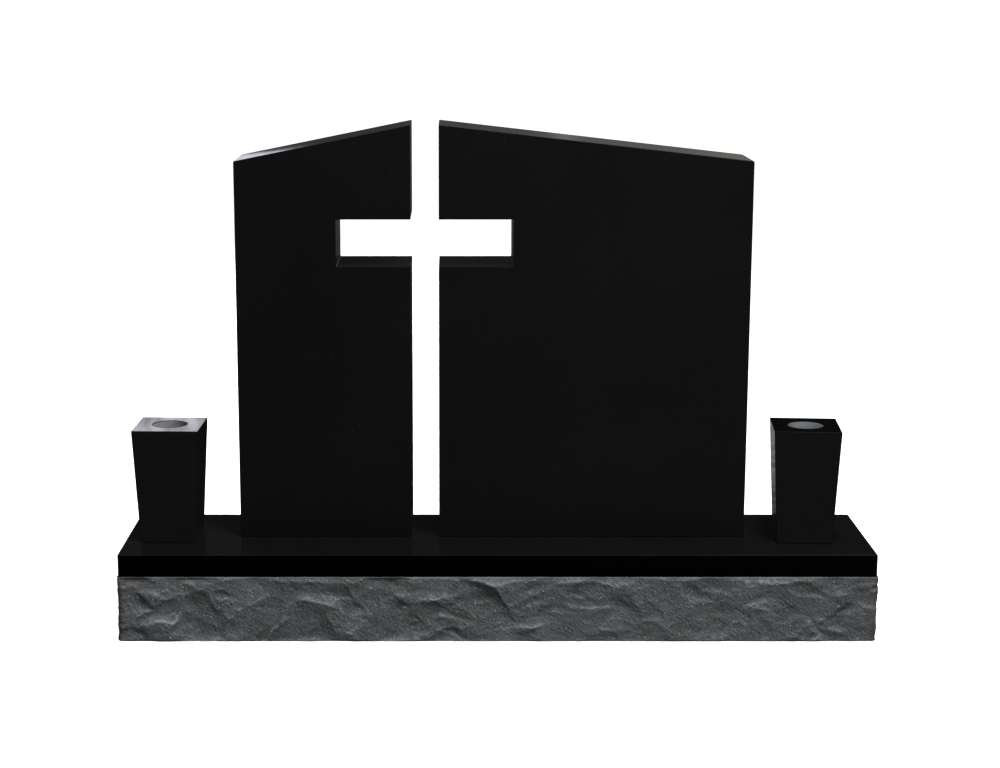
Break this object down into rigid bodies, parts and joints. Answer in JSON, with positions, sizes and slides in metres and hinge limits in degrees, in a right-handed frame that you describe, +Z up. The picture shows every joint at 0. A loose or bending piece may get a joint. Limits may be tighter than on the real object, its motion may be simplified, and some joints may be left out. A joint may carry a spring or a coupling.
{
  "type": "headstone",
  "caption": "Upright polished granite monument: twin tablets leaving a see-through cross, on a rock-pitched base with square flower vases.",
  "frame": {"origin": "middle of the base's flat underside, at the middle of its plan", "axes": "+X along the base to the right as the front is seen, +Y from the front to the back, +Z up"},
  "size_m": [1.7492, 0.3819, 1.1633],
  "materials": {
    "polished_granite": "polished",
    "pitched_granite": "matte"
  },
  "bodies": {
    "root": {"base": "pitched_granite", "left_tablet": "polished_granite", "right_tablet": "polished_granite", "left_vase": "polished_granite", "right_vase": "polished_granite"}
  },
  "joints": []
}
